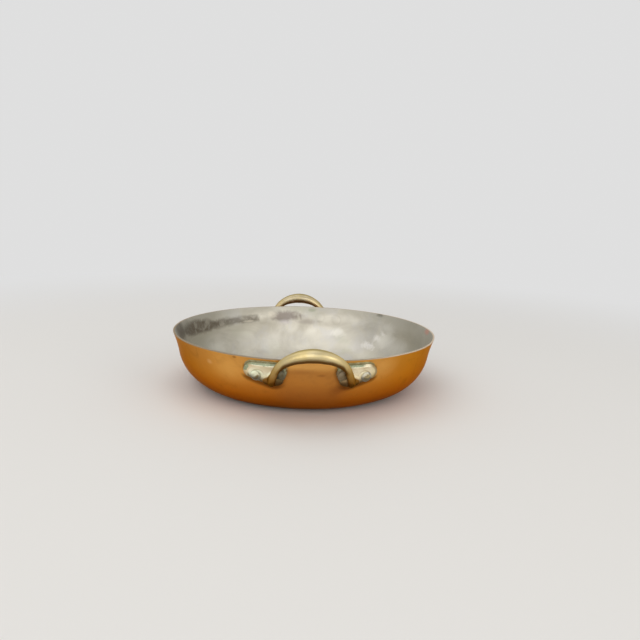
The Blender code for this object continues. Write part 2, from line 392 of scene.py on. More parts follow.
def makeFlatFoot():  # three discs inside one hull, its front edge rounded, sliced so that it can bend
    onlySelect()
    for number, (centre, radius) in enumerate(footEnds):
        size = {"vertices": 64, "radius": radius, "depth": foot["thickness"]}
        bpy.ops.mesh.primitive_cylinder_add(**size, location=(centre.x, centre.y, 0.0))
        if number == 0:
            thing = bpy.context.object
            applyPlace()
            bpy.ops.object.mode_set(mode="EDIT")
    bpy.ops.mesh.select_all(action="SELECT")
    bpy.ops.mesh.convex_hull(join_triangles=True)
    bpy.ops.mesh.select_all(action="DESELECT")
    shape = bmesh.from_edit_mesh(thing.data)
    for edge in shape.edges:
        onFront = all(vertex.co.z > foot["thickness"] * 0.45 for vertex in edge.verts)
        edge.select_set(onFront and edge.calc_face_angle(0.0) > math.radians(45))
    bmesh.update_edit_mesh(thing.data)
    bpy.ops.mesh.bevel(offset=foot["rounding"], segments=4, profile=0.5)
    reach = math.ceil(foot["length"] / 2 / foot["slice"])
    for axis in ((1, 0, 0), (0, 1, 0)):
        for step in range(-reach, reach + 1):
            place = Vector(axis) * step * foot["slice"]
            bpy.ops.mesh.select_all(action="SELECT")
            bpy.ops.mesh.bisect(plane_co=place, plane_no=axis)
    outOfEdit()
    return thing


def bendOntoWall(thing, side):
    middle = foot["belowRim"] + foot["height"] / 2
    for vertex in thing.data.vertices:
        if side > 0 and vertex.co.x > 0:
            vertex.co.x *= foot["rightReach"]
        across = side * (foot["spacing"] / 2 + vertex.co.x)
        out = foot["seat"] + foot["thickness"] / 2 + vertex.co.z
        vertex.co = onWall(across, middle - vertex.co.y, out)
    thing.data.update()


def copyOf(thing, name):
    onlySelect(thing)
    bpy.ops.object.duplicate(linked=False)
    copied = bpy.context.object
    copied.name = name
    return copied


def loopPoints():  # the right half, as (place, thickness), from inside the foot to the top
    sunk = foot["seat"] + foot["thickness"] / 2
    legAcross = loop["legSpacing"] / 2
    points = [
        (onWall(legAcross, loop["legDrop"], sunk), loop["rootThickness"]),
        (onWall(legAcross, loop["legDrop"], sunk + loop["stem"]), loop["legThickness"]),
    ]
    knee, normal = wallAt(loop["kneeDepth"])
    kneeOut = math.sqrt(knee.x ** 2 - (loop["width"] / 2) ** 2) + loop["kneeStandoff"]
    topOut = rimRadius + loop["reach"]
    topHeight = rimHeight + loop["rise"]
    for step in range(1, loop["points"] + 1):
        angle = math.pi / 2 * step / loop["points"]
        lift = math.sin(angle)
        place = Vector((
            loop["width"] / 2 * math.cos(angle),
            -(kneeOut + (topOut - kneeOut) * lift),
            knee.y + (topHeight - knee.y) * lift,
        ))
        size = loop["legThickness"] + (loop["barThickness"] - loop["legThickness"]) * lift ** loop["swell"]
        points.append((place, size))
    return points


def makeBar():
    half = loopPoints()
    points = half + [(Vector((-place.x, place.y, place.z)), size) for place, size in half[-2::-1]]
    onlySelect()
    bpy.ops.curve.primitive_bezier_curve_add(location=(0, 0, 0))
    bar = bpy.context.object
    bar.data.bevel_depth = loop["barThickness"] / 2
    bar.data.bevel_resolution = 8
    bar.data.resolution_u = 10
    bar.data.use_fill_caps = True
    spline = bar.data.splines[0]
    spline.bezier_points.add(len(points) - len(spline.bezier_points))
    for knot, (place, size) in zip(spline.bezier_points, points):
        knot.co = place
        knot.radius = size / loop["barThickness"]
        knot.handle_left_type = knot.handle_right_type = "AUTO"
    bpy.ops.object.convert(target="MESH")
    bar = bpy.context.object
    intoEdit(bar)
    closeSkin()
    return bar


casting = {
    "voxel": 0.00045,
    "softening": 3,
    "filletReach": 0.0060,
    "filletPasses": 50,
    # Swellings where a leg grows out of its foot: half sizes across, along the wall and outward
    "roots": (
        {"size": (0.0095, 0.0046, 0.0036), "drop": 0.0184, "out": 0.0043},
        {"size": (0.0040, 0.0058, 0.0042), "drop": 0.0168, "out": 0.0060},
    ),
    "dentDepth": 0.00010,     # hammered hollow round the outer rivets
    "dentRadius": 0.0051,
    "dentWidth": 0.0013,
    "unevenness": 0.00012,
    "unevenScale": 130.0,
    "filing": 0.00050,        # low places of the feet, left by hand filing
    "filingScale": 85.0,
    "faceEnds": (0.0050, 0.0060),
}


def wallFrame(across, drop, out):  # a place on the front wall, with Z pointing out and Y up along it
    place = onWall(across, drop, out)
    outward = (onWall(across, drop, out + 1.0) - place).normalized()
    turned = outward.to_track_quat("Z", "Y").to_matrix().to_4x4()
    return Matrix.Translation(place) @ turned


def makeRoots(side):
    made = []
    for swelling in casting["roots"]:
        onlySelect()
        bpy.ops.mesh.primitive_uv_sphere_add(segments=32, ring_count=16, radius=1.0)
        root = bpy.context.object
        root.scale = swelling["size"]
        bpy.ops.object.transform_apply(location=False, rotation=False, scale=True)
        root.matrix_world = wallFrame(side * loop["legSpacing"] / 2, swelling["drop"], swelling["out"])
        applyPlace()
        made.append(root)
    return made


def standOff(point):  # how far a point stands off the copper
    fromCorner, fromFlare, angle = fromCentres(point)
    if point.z > rimHeight:
        return math.hypot(math.hypot(point.x, point.y) - rimRadius, point.z - rimHeight)
    if angle < joinAngle:
        return bowl["flareRadius"] - fromFlare.length
    return fromCorner.length - bowl["cornerRadius"]


def hammerHollows(handle):
    normals = [vertex.normal.copy() for vertex in handle.data.vertices]
    span, low = rivetRows["outer"]
    for vertex, normal in zip(handle.data.vertices, normals):
        across, drop = wallPlace(vertex.co)
        fromRivet = math.hypot(abs(across) - span, drop - low)
        ring = easeIn(abs(fromRivet - casting["dentRadius"]), casting["dentWidth"], 0.0)
        onFace = 1.0 - easeIn(standOff(vertex.co), *casting["faceEnds"])
        uneven = noise.noise(vertex.co * casting["unevenScale"]) * casting["unevenness"]
        filed = (0.5 + 0.5 * noise.noise(vertex.co * casting["filingScale"])) * casting["filing"]
        vertex.co += normal * (uneven - (casting["dentDepth"] * ring + filed) * onFace)
    handle.data.update()


def handleNotes(point):  # what the brass reads, in the order of the names in makeHandles
    across, drop = wallPlace(point)
    leg = loop["legSpacing"] / 2
    lobe = easeIn(abs(across), leg, leg - loop["legThickness"] / 2)
    return footDistance(across, drop), rivetDistance(across, drop), standOff(point), lobe


def makeHandles(material):
    flat = makeFlatFoot()
    parts = []
    for side in (1, -1):
        bent = copyOf(flat, "foot")
        bendOntoWall(bent, side)
        if side < 0:
            intoEdit(bent, "SELECT")
            bpy.ops.mesh.flip_normals()
            outOfEdit()
        parts += [bent, *makeRoots(side)]
    bpy.data.objects.remove(flat, do_unlink=True)
    handle = makeBar()
    onlySelect(*parts, handle)
    bpy.ops.object.join()
    handle = bpy.context.object
    handle.name = "handleFront"
    applyModifier(handle, "REMESH", mode="VOXEL", voxel_size=casting["voxel"], use_smooth_shade=True)
    applyModifier(handle, "SMOOTH", factor=0.5, iterations=casting["softening"])
    corners = handle.vertex_groups.new(name="corners")
    for vertex in handle.data.vertices:
        across, drop = wallPlace(vertex.co)
        fromLeg = math.hypot(abs(across) - loop["legSpacing"] / 2, drop - loop["legDrop"])
        out = standOff(vertex.co) - foot["thickness"]
        amount = 1.0 - easeIn(max(fromLeg - loop["rootThickness"] / 2, abs(out)), 0.0, casting["filletReach"])
        corners.add([vertex.index], amount, "REPLACE")
    applyModifier(handle, "SMOOTH", factor=0.5, iterations=casting["filletPasses"], vertex_group="corners")
    handle.vertex_groups.clear()
    hammerHollows(handle)
    note(handle, ("footDistance", "rivetDistance", "standOff", "innerLobe"), handleNotes)
    back = copyOf(handle, "handleBack")
    back.data.transform(Matrix.Rotation(math.pi, 4, "Z"))
    finishPiece(handle, material, "brass", "handle_front")
    finishPiece(back, material, "brass", "handle_back")


def domeLine(radius, height, base, up):
    sphere = (radius ** 2 + height ** 2) / (2 * height)
    opening = math.asin(min(1.0, radius / sphere))
    points = []
    for step in range(rivet["domeSteps"] + 1):
        angle = opening * step / rivet["domeSteps"]
        rise = sphere * math.cos(angle) - sphere + height
        points.append(Vector((sphere * math.sin(angle), base + up * rise)))
    return points


def makeRivets(material):
    outerSeat = 2 * foot["seat"] + foot["thickness"] - rivet["seatedIn"]
    innerSeat = -(bowl["sheet"] + lining["gap"] + lining["thickness"])
    shank, head, innerHead = rivet["shank"] / 2, rivet["head"] / 2, rivet["innerHead"] / 2
    section = domeLine(head, rivet["headHeight"] - rivet["edge"], outerSeat + rivet["edge"], 1)
    section += [Vector((radius, outerSeat)) for radius in (head - rivet["edgeSlope"], shank)]
    section += [Vector((radius, innerSeat)) for radius in (shank, innerHead - rivet["edgeSlope"])]
    section += domeLine(innerHead, rivet["innerHeight"], innerSeat - rivet["edgeSlope"] / 2, -1)[::-1]
    pattern = drawSection("rivet", section)
    turnSection(pattern, rivet["steps"])
    note(pattern, ("edge",), lambda point: (math.hypot(point.x, point.y) / head,))
    number = 0
    for row, (span, drop) in rivetRows.items():
        for side, sign in (("left", -1), ("right", 1)):
            seat = wallFrame(sign * span, drop, 0.0)
            for face, half in (("front", 0.0), ("back", math.pi)):
                made = copyOf(pattern, "rivet" + face.title() + side.title() + row.title())
                number += 1
                made.data.transform(Matrix.Rotation(number * rivet["turnEach"], 4, "Z"))
                shift = Vector((number * rivet["markShift"], 0, 0))
                for vertex in made.data.vertices:
                    marks = noise.noise(vertex.co * rivet["markScale"] + shift)
                    vertex.co.z += marks * rivet["hammerMarks"] * easeIn(vertex.co.z, *rivet["marked"])
                made.data.transform(Matrix.Rotation(half, 4, "Z") @ seat)
                finishPiece(made, material, "rivet_metal", f"rivet_{face}_{side}_{row}")
    bpy.data.objects.remove(pattern, do_unlink=True)


# Small tools for node trees. A Value is what a node gives, and reckoning with it adds Math nodes
class Value:
    def __init__(self, socket):
        self.socket = socket
        self.tree = socket.id_data

    def calc(self, operation, other=0.0):
        return fromNode(self.tree, "Math", 0, {0: self, 1: other}, operation=operation)

    def __add__(self, other):
        return self.calc("ADD", other)

    def __sub__(self, other):
        return self.calc("SUBTRACT", other)

    def __rsub__(self, other):
        return fromNode(self.tree, "Math", 0, {0: other, 1: self}, operation="SUBTRACT")

    def __mul__(self, other):
        return self.calc("MULTIPLY", other)

    def __abs__(self):
        return self.calc("ABSOLUTE")

    def clamped(self):
        self.socket.node.use_clamp = True
        return self

    def easeIn(self, low, high, bottom=0.0, top=1.0):  # bottom at low and top at high, smooth between them
        inputs = {"Value": self, "From Min": low, "From Max": high, "To Min": bottom, "To Max": top}
        return fromNode(self.tree, "MapRange", "Result", inputs, interpolation_type="SMOOTHSTEP")


def fillInputs(node, inputs):  # values are linked, numbers are set, and colours are made opaque
    for name, value in inputs.items():
        socket = node.inputs[name]
        if isinstance(value, Value):
            value.tree.links.new(value.socket, socket)
        elif socket.type == "RGBA":
            socket.default_value = (*value, 1.0)
        else:
            socket.default_value = value


def addNode(tree, kind, inputs=None, **settings):
    made = tree.nodes.new("ShaderNode" + kind)
    for name, value in settings.items():
        setattr(made, name, value)
    fillInputs(made, inputs or {})
    return made


def fromNode(tree, kind, output, inputs=None, **settings):
    return Value(addNode(tree, kind, inputs, **settings).outputs[output])


def mean(first, second):
    return (first + second) * 0.5


def largest(value, *others):
    for other in others:
        value = value.calc("MAXIMUM", other)
    return value


def vectorCalc(operation, first, second=(0.0, 0.0, 0.0), output="Vector"):
    return fromNode(first.tree, "VectorMath", output, {0: first, 1: second}, operation=operation)


def partsOf(vector):
    outputs = addNode(vector.tree, "SeparateXYZ", {0: vector}).outputs
    return [Value(outputs[name]) for name in "XYZ"]


def radiusOf(x, y):
    return (x * x + y * y).calc("SQRT")


def roundTheWall(place):  # changes fast only across the wall, for marks that run round the pan
    x, y, z = partsOf(place)
    return fromNode(place.tree, "CombineXYZ", 0, {"X": x, "Y": y, "Z": radiusOf(x, y) - z})


def speckle(vector, scale, detail=4.0, roughness=0.6, distortion=0.0):
    inputs = dict(Vector=vector, Scale=scale, Detail=detail, Roughness=roughness, Distortion=distortion)
    return fromNode(vector.tree, "TexNoise", "Fac", inputs)


def streak(vector, drawnOut, *grain):  # speckle drawn out along the axes that have small numbers
    return speckle(vectorCalc("MULTIPLY", vector, drawnOut), *grain)


def blend(amount, first, second, way="MIX"):
    inputs = {0: amount, 6: first, 7: second}
    return fromNode(amount.tree, "Mix", 2, inputs, data_type="RGBA", blend_type=way)


def ramp(value, stops):
    made = addNode(value.tree, "ValToRGB", {"Fac": value})
    steps = made.color_ramp.elements
    for step, (position, colour) in zip(steps, (stops[0], stops[-1])):
        step.position = position
        step.color = (*colour, 1.0)
    for position, colour in stops[1:-1]:
        steps.new(position).color = (*colour, 1.0)
    return Value(made.outputs["Color"])


def newGroup(name, inputs):  # an input without a number is a vector
    tree = bpy.data.node_groups.new(name, "ShaderNodeTree")
    for label, value in inputs.items():
        kind = "NodeSocketVector" if value is None else "NodeSocketFloat"
        socket = tree.interface.new_socket(label, in_out="INPUT", socket_type=kind)
        if value is not None:
            socket.default_value = value
    start = tree.nodes.new("NodeGroupInput")
    return tree, {label: Value(start.outputs[label]) for label in inputs}


def closeGroup(tree, results):
    for label, value in results.items():
        kind = "NodeSocketColor" if value.socket.type == "RGBA" else "NodeSocketFloat"
        tree.interface.new_socket(label, in_out="OUTPUT", socket_type=kind)
    end = tree.nodes.new("NodeGroupOutput")
    fillInputs(end, results)
    return tree


def useGroup(group, inputs):
    made = addNode(inputs["Vector"].tree, "Group", inputs, node_tree=group)
    return {socket.name: Value(socket) for socket in made.outputs}


def takeMeasures(place, grain, *attributes):  # all that a material's masks can be made from
    x, y, z = partsOf(place)
    here = SimpleNamespace(x=x, y=y, z=z, aside=abs(x))
    for name, numbers in grain.items():
        setattr(here, name, speckle(place, *numbers))
    for name in attributes:
        setattr(here, name, fromNode(place.tree, "Attribute", "Fac", attribute_name=name))
    return here


def maskOf(here, limits):  # 0 where a measure is at its first number, 1 where all are at their second
    masks = []
    for name, ends in limits.items():
        measure = getattr(here, name)
        masks.append(measure.easeIn(*ends) if ends else measure)
    return math.prod(masks[1:], start=masks[0])


def addMasks(here, masks):
    for name, limits in masks.items():
        setattr(here, name, maskOf(here, limits))


# Coats are rows of (colour, strength, where it lies), and None takes a measure as the mask it is
def addCoats(colour, look, coats, here, way="MIX"):
    for name, strength, limits in coats:
        colour = blend(maskOf(here, limits) * strength, colour, look[name], way)
    return colour


# Spots are rows of (place and half size in millimetres, raggedness, softness, strength, colour)
def addSpots(colour, spots, place, ragged):
    for middle, size, torn, soft, strength, tint in spots:
        away = vectorCalc("SUBTRACT", place, Vector(middle) * millimetre)
        scaled = vectorCalc("MULTIPLY", away, [1 / (half * millimetre) for half in size])
        edge = vectorCalc("LENGTH", scaled, output="Value") + (ragged - 0.5) * torn
        colour = blend(edge.easeIn(1.0, 1.0 - soft) * strength, colour, tint)
    return colour


def startMaterial(name):
    material = bpy.data.materials.new(name)
    material.use_nodes = True
    return material, fromNode(material.node_tree, "TexCoord", "Object")


def finishMaterial(material, look, colour, rough, metal, height):
    tree = material.node_tree
    strength, depth = look["bump"]
    bump = fromNode(tree, "Bump", "Normal", {"Height": height, "Strength": strength, "Distance": depth})
    fillInputs(tree.nodes["Principled BSDF"], {
        "Base Color": colour,
        "Roughness": rough,
        "Metallic": metal,
        "Specular Tint": look.get("edgeTint", (1.0, 1.0, 1.0)),
        "Normal": bump,
    })
    return material


verdigris = {
    "grain": ((420.0, 5.0, 0.65), (120.0, 3.0, 0.5), (700.0, 4.0, 0.7)),
    "edge": (0.36, 0.64),
    "tones": (
        (0.32, (0.115, 0.165, 0.105)),
        (0.5, (0.21, 0.28, 0.175)),
        (0.68, (0.5, 0.56, 0.38)),
    ),
}


def makeVerdigrisGroup():  # grey-green salts that creep out of corners
    tree, given = newGroup("verdigris", {"Vector": None, "Nearness": 0.0, "Raggedness": 0.5})
    ragged, broad, fine = [speckle(given["Vector"], *numbers) for numbers in verdigris["grain"]]
    push = (ragged + broad - 1.0) * given["Raggedness"]
    mask = (given["Nearness"] + push).easeIn(*verdigris["edge"])
    tone = ramp(mean(fine, broad), verdigris["tones"])
    return closeGroup(tree, {"Mask": mask, "Colour": tone, "Height": mask * fine})


scratch = {
    "lines": (6.0, 0.8),
    "patches": (25.0, 2.0, 0.5),
    "patchEdge": (0.4, 0.62),
    "fewest": 0.72,           # above this no line shows, and the amount brings it down
    "most": 0.25,
    "lineEdge": 0.1,
}


def makeScratchGroup():  # fine lines, drawn out along X and Y of the vector that comes in
    tree, given = newGroup("fineScratches", {"Vector": None, "Scale": 100.0, "Stretch": 0.05, "Amount": 0.5})
    drawnOut = fromNode(tree, "CombineXYZ", 0, {"X": given["Stretch"], "Y": given["Stretch"], "Z": 1.0})
    lines = streak(given["Vector"], drawnOut, given["Scale"], *scratch["lines"])
    patches = speckle(given["Vector"], *scratch["patches"]).easeIn(*scratch["patchEdge"])
    low = scratch["fewest"] - given["Amount"] * scratch["most"]
    return closeGroup(tree, {"Mask": lines.easeIn(low, low + scratch["lineEdge"]) * patches})


def useScratches(groups, place, look):
    inputs = dict(zip(("Scale", "Stretch", "Amount"), look["scratches"]))
    return useGroup(groups["scratches"], {"Vector": roundTheWall(place), **inputs})["Mask"]


tinLook = {
    "pale": (0.67, 0.64, 0.56),
    "grey": (0.54, 0.51, 0.435),
    "side": (0.32, 0.3, 0.24),
    "stain": (0.12, 0.098, 0.068),
    "cool": (0.58, 0.575, 0.6),
    "green": (0.52, 0.53, 0.42),
    "roughness": (0.42, 0.6),
    "metallic": 0.62,
    "bump": (0.28, 0.0004),
    "scratches": (700.0, 0.05, 0.6),
}

# Scale, detail, roughness and distortion of each noise
tinGrain = {
    "clouds": (11.0, 3.0, 0.5, 0.8),
    "torn": (75.0, 6.0, 0.65, 0.6),
    "fine": (300.0, 4.0, 0.65),
    "coolClouds": (38.0, 4.0, 0.6, 0.5),
    "greenClouds": (27.0, 3.0, 0.5, 0.5),
}
wipeStrokes = ((0.35, 0.35, 1.0), 55.0, 5.0, 0.6, 1.0)

tinCoats = (
    ("cool", 0.35, {"coolClouds": (0.48, 0.66)}),
    ("green", 0.3, {"greenClouds": (0.52, 0.7)}),
    # Darker on the left and right walls, a painted shade, and darker towards the rim
    ("side", 0.75, {"sideways": (0.45, 1.0), "radius": (0.085, 0.12)}),
    ("side", 0.35, {"z": (0.044, 0.054)}),
)

# The dark band inside, from the left round to the back handle; angles are counted from that handle
tinBand = {
    "turns": (-1.66, -0.34),
    "blunt": 0.1,
    "height": 0.0417,
    "lift": 0.0045,
    "liftFrom": -0.75,
    "half": 0.007,
    "fuller": (-0.7, -1.05),
    "narrowerFrom": -1.2,
    "torn": 0.02,
    "frayed": 0.3,
    "edge": (-0.0024, 0.0026),
    "lastLeft": -1.35,
    "darker": (-0.6, -1.05, 0.68, 1.0),
    "tears": (0.34, 0.54, 0.5, 1.0),
    "drips": ((1.0, 1.0, 0.3), 75.0, 5.0, 0.65, 0.4),
    "dripEdge": (0.34, 0.52, 0.8, 1.0),
}

tinSpots = (
    ((-125, 8, 47), (16, 45, 15), 1.0, 1.0, 0.8, (0.125, 0.115, 0.088)),
    ((-127, 2, 50), (12, 26, 17), 1.0, 1.0, 0.7, (0.105, 0.082, 0.055)),
    ((48, 110, 42), (55, 30, 9), 1.0, 1.0, 0.45, (0.8, 0.77, 0.69)),
    ((94, 73, 29), (23, 26, 16), 1.0, 1.0, 0.8, (0.82, 0.8, 0.73)),
    ((106, 51, 25), (30, 34, 15), 1.0, 1.0, 0.65, (0.6, 0.58, 0.52)),
    ((-93, 65, 18), (22, 25, 11), 1.0, 1.0, 0.6, (0.64, 0.62, 0.55)),
    ((-28, 103, 20), (30, 30, 16), 1.0, 1.0, 0.6, (0.86, 0.83, 0.76)),
    ((-17.5, 122.5, 44), (24, 16, 8.8), 1.6, 0.65, 0.84, (0.225, 0.19, 0.168)),
    ((-18.7, 120.9, 37.1), (14, 12, 5), 1.2, 1.0, 0.4, (0.58, 0.54, 0.6)),
    ((97.4, 74.8, 40), (19, 22, 11), 1.0, 1.0, 0.55, (0.7, 0.68, 0.62)),
    ((8.5, 122, 37.8), (21, 16, 4), 1.6, 0.9, 0.45, (0.33, 0.285, 0.255)),
    ((15, 125.5, 51.7), (6, 10, 2.8), 0.8, 0.7, 0.45, (0.27, 0.3, 0.2)),
    ((-33, 119, 46), (8.5, 12, 5), 2.6, 0.8, 0.5, (0.78, 0.73, 0.62)),
    ((-60, 111, 40), (8, 14, 1.6), 1.8, 0.6, 0.55, (0.7, 0.65, 0.55)),
    ((88.6, 81, 28.3), (8, 12, 5.2), 3.2, 0.9, 0.55, (0.9, 0.88, 0.84)),
    ((94.5, 76.8, 34), (5.2, 10, 4), 2.4, 0.9, 0.6, (0.9, 0.88, 0.86)),
    ((78, 84.6, 19), (10, 12, 5.2), 3.2, 0.9, 0.5, (0.88, 0.86, 0.84)),
    ((44, 108, 28), (15, 16, 6), 2.4, 0.8, 0.45, (0.88, 0.85, 0.78)),
    ((127, 3, 53.2), (6, 10, 4.4), 0.6, 0.7, 0.75, (0.54, 0.27, 0.2)),
    ((91.9, 88.1, 54.2), (6.5, 6, 3), 1.6, 0.7, 0.6, (0.13, 0.125, 0.09)),
    ((-44, 91, 6.9), (11, 8, 8), 2.0, 0.9, 0.25, (0.34, 0.31, 0.25)),
)


def darkBand(place, turn, z, torn, strokes):  # blunt and pale at its right end, darker towards the left
    left, right = tinBand["turns"]
    blunt = (right, right - tinBand["blunt"])
    half = turn.easeIn(*blunt, 0.0, tinBand["half"] * 0.6)
    half = half + turn.easeIn(*tinBand["fuller"], 0.0, tinBand["half"] * 0.4)
    half = half - turn.easeIn(tinBand["narrowerFrom"], left, 0.0, tinBand["half"] * 0.6)
    middle = turn.easeIn(tinBand["liftFrom"], left, tinBand["height"], tinBand["height"] + tinBand["lift"])
    wobble = (mean(torn, strokes) - 0.5) * tinBand["torn"]
    inside = half - (abs(z - middle) + wobble)
    frayed = turn + (torn - 0.5) * tinBand["frayed"]
    band = inside.easeIn(*tinBand["edge"]) * frayed.easeIn(*blunt)
    band = band * turn.easeIn(left - tinBand["blunt"], tinBand["lastLeft"]) * torn.easeIn(*tinBand["tears"])
    drips = streak(place, *tinBand["drips"]).easeIn(*tinBand["dripEdge"])
    return band * drips * turn.easeIn(*tinBand["darker"])


def makeTinGroup():  # hand-wiped, scoured and stained tin; the rivets' inner heads wear it too
    tree, given = newGroup("wipedTin", {"Vector": None})
    place = given["Vector"]
    here = takeMeasures(place, tinGrain)
    turn = here.x.calc("ARCTAN2", here.y)
    here.radius = radiusOf(here.x, here.y)
    here.sideways = abs(turn.calc("SINE"))
    strokes = streak(roundTheWall(place), *wipeStrokes)
    tone = mean(here.clouds, strokes)
    colour = blend(tone.easeIn(0.4, 0.62), tinLook["pale"], tinLook["grey"])
    colour = addCoats(colour, tinLook, tinCoats, here)
    band = darkBand(place, turn, here.z, here.torn, strokes)
    colour = blend(band, colour, tinLook["stain"])
    colour = addSpots(colour, tinSpots, place, here.torn)
    rough = tone.easeIn(0.38, 0.62, *tinLook["roughness"]) + band * 0.15
    height = strokes * 0.7 + here.fine * 0.1
    return closeGroup(tree, {"Colour": colour, "Stain": band, "Roughness": rough, "Height": height})


def wipedTin(groups):
    material, place = startMaterial("wipedTin")
    tin = useGroup(groups["tin"], {"Vector": place})
    scratches = useScratches(groups, place, tinLook)
    colour = blend(scratches * 0.25, tin["Colour"], tinLook["pale"])
    fromRivet = fromNode(place.tree, "Attribute", "Fac", attribute_name="rivetDistance")
    colour = blend(fromRivet.easeIn(0.0075, 0.0048) * 0.1, colour, tinLook["side"])
    metal = (tinLook["metallic"] - tin["Stain"] * 0.35).clamped()
    height = tin["Height"] - scratches * 0.12
    return finishMaterial(material, tinLook, colour, tin["Roughness"], metal, height)


# Copper's colour by height, from the foot of the pan to its rim: darker towards the foot, a painted shade for
# the dark reflection low on the wall
copperHeights = (
    (0.00, (0.12, 0.034, 0.006)),
    (0.12, (0.39, 0.112, 0.012)),
    (0.34, (0.54, 0.188, 0.023)),
    (0.62, (0.59, 0.238, 0.036)),
    (0.95, (0.63, 0.3, 0.07)),
)

copperLook = {
    "worn": (0.72, 0.38, 0.115),
    "lightBelowBar": (0.84, 0.45, 0.125),
    "brown": (0.2, 0.062, 0.012),
    "shadeBetweenLegs": (0.36, 0.14, 0.042),
    "warm": (0.98, 0.86, 0.42),
    "leftSide": (0.7, 0.66, 0.95),
    "rightSide": (0.8, 0.76, 0.8),
    "deepShade": (0.105, 0.032, 0.007),
    "edgeTint": (0.8, 0.5, 0.22),
    "roughness": (0.36, 0.47),
    "metallic": 0.95,
    "bump": (0.16, 0.0003),
    "scratches": (900.0, 0.03, 0.45),
    "rimLine": 0.0008,        # tin wiped over the edge
}

copperGrain = {"broad": (13.0, 3.0, 0.5, 0.3), "middle": (60.0, 5.0, 0.6, 0.4), "fine": (420.0, 4.0, 0.65)}

# Between the legs the sheet has painted shade below and is painted lighter above, against the bar's shadow
copperCoats = (
    ("brown", 0.22, {"middle": (0.52, 0.72)}),
    ("shadeBetweenLegs", 0.35, {"aside": (0.036, 0.018), "z": (0.05, 0.043)}),
    ("lightBelowBar", 0.75, {"aside": (0.036, 0.018), "z": (0.043, 0.05)}),
)
# leftSide and rightSide darken the wall towards its left and right edges: painted shade
copperTints = (
    ("warm", 0.85, {"x": (0.045, 0.09)}),
    ("leftSide", 0.85, {"x": (-0.08, -0.122)}),
    ("rightSide", 0.85, {"x": (0.085, 0.12)}),
)
freckles = (("brown", 0.2, {"fine": (0.62, 0.76)}),)
# Painted shade on the copper just below the feet
shadeBelowFeet = (("deepShade", 0.75, {"footDistance": (0.0072, 0.0036), "z": (0.04, 0.036), "aside": (0.018, 0.028)}),)

# Round the feet
copperMasks = {
    "above": {"z": (0.046, 0.051)},
    "inward": {"aside": (0.028, 0.022)},
    "shadow": {"footDistance": (0.0032, 0.0002)},
    "creeping": {"footDistance": (0.0034, -0.0004)},
    "outerLeft": {"x": (-0.05, -0.056), "z": (0.038, 0.044)},
}

copperSpots = (
    # The first two are broad painted highlights high on the front wall
    ((-69, -106.5, 45), (30, 28, 23), 0.5, 1.0, 0.78, (0.8, 0.42, 0.105)),
    ((60.5, -112, 47.5), (24, 24, 17), 0.5, 1.0, 0.7, (0.8, 0.43, 0.115)),
    ((-86.5, -91.6, 43.3), (4.5, 4.5, 3), 0.8, 0.9, 0.35, (0.86, 0.56, 0.26)),
    ((-64, -112.2, 52.9), (2.6, 4, 1.8), 0.6, 0.7, 0.55, (0.22, 0.085, 0.03)),
    # The next two, dark flat blurs below the bar, are a painted reflection of the bar
    ((8.6, -125.3, 41.4), (6, 8, 2), 1.2, 0.9, 0.5, (0.27, 0.095, 0.022)),
    ((-7.1, -126.3, 44.8), (17, 10, 4.2), 1.2, 1.0, 0.38, (0.36, 0.135, 0.034)),
    # Painted shade below the right leg
    ((22.9, -120.1, 28.5), (12, 12, 7.5), 1.4, 0.9, 0.55, (0.24, 0.07, 0.016)),
    ((-39, -122.7, 52.2), (11, 8, 1.3), 0.8, 0.7, 0.45, (0.5, 0.2, 0.11)),
)


def agedCopper(groups):
    material, place = startMaterial("agedCopper")
    here = takeMeasures(place, copperGrain, "footDistance")
    addMasks(here, copperMasks)
    age = mean(here.broad, here.middle)
    level = (here.z.calc("DIVIDE", rimHeight) + (age - 0.5) * 0.45).clamped()
    colour = addCoats(ramp(level, copperHeights), copperLook, copperCoats, here)
    colour = addCoats(colour, copperLook, copperTints, here, "MULTIPLY")
    colour = addCoats(colour, copperLook, freckles, here)
    scratches = useScratches(groups, place, copperLook)
    colour = blend(scratches * 0.22, colour, copperLook["worn"])
    colour = addSpots(colour, copperSpots, place, here.middle)
    # A painted brown shadow, spared above the feet and between the legs, then painted shade below the feet,
    # then verdigris
    spared = largest(here.above * 0.8, here.inward * 0.5)
    colour = blend(here.shadow * (0.8 - spared).clamped(), colour, copperLook["brown"])
    colour = addCoats(colour, copperLook, shadeBelowFeet, here)
    nearness = here.creeping * (here.above * 0.4 + here.outerLeft * 0.35 + 0.42)
    green = useGroup(groups["verdigris"], {"Vector": place, "Nearness": nearness, "Raggedness": 0.5})
    colour = blend(green["Mask"] * 0.75, colour, green["Colour"])
    rimStart = rimHeight - copperLook["rimLine"]
    rim = (here.z + (here.middle - 0.5) * 0.001).easeIn(rimStart, rimStart + copperLook["rimLine"] * 0.5)
    # The tin along the rim is pale on the right, a painted highlight, and darker to the left
    bare = blend(here.x.easeIn(0.02, 0.09), tinLook["side"], tinLook["pale"])
    colour = blend(rim * 0.9, colour, bare)
    rough = (age.easeIn(0.35, 0.65, *copperLook["roughness"]) + green["Mask"] * 0.3).clamped()
    metal = copperLook["metallic"] - largest(green["Mask"], rim * 0.4) * 0.8
    height = here.middle * 0.5 + here.fine * 0.08 - scratches * 0.08 + green["Height"] * 0.8
    return finishMaterial(material, copperLook, colour, rough, metal, height)


rivetLook = {
    "metal": (0.3, 0.205, 0.075),
    "golden": (0.5, 0.39, 0.18),
    "crustAndHighlight": (0.62, 0.63, 0.46),
    "paleCrust": (0.58, 0.555, 0.46),
    "dirtAndShade": (0.045, 0.036, 0.02),
    "mint": (0.86, 0.93, 0.7),
    "light": (-0.62, -0.25, 0.74),     # towards the lamps: the side of a head facing it gets pale crust and mint salts, partly real salts and partly a painted highlight
    "bump": (0.3, 0.0003),
}

rivetGrain = {"broad": (200.0, 3.0, 0.5), "fine": (700.0, 4.0, 0.65), "pitted": (330.0, 2.0, 0.5)}

